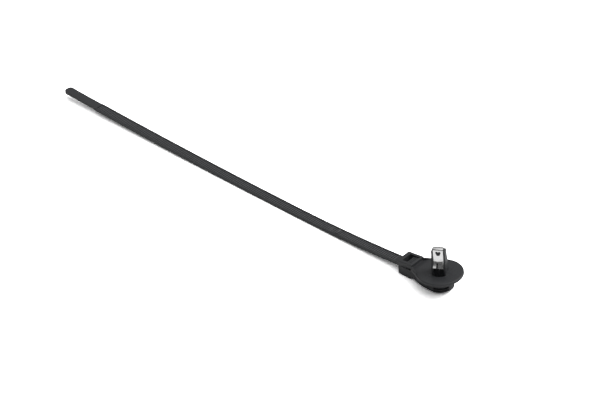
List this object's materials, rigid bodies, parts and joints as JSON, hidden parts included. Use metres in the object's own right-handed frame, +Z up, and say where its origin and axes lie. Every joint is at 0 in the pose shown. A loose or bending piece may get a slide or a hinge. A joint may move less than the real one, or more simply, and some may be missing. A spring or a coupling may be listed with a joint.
{
  "type": "cable tie",
  "caption": "Outside-serrated nylon cable tie with a teardrop flange and a fixing post that a folded spring-steel clip locks into a round panel hole",
  "frame": {"origin": "on the surface, under the middle of the bounding box", "axes": "X along the strap towards the flange, Y across it, Z up"},
  "size_m": [0.2085, 0.0176, 0.0176],
  "materials": {
    "black_nylon": "injection-moulded, fine matte texture",
    "spring_steel": "bright rolled strip, sheared edges"
  },
  "bodies": {
    "root": {"tie_moulding": "black_nylon", "spring_clip": "spring_steel"}
  },
  "joints": []
}
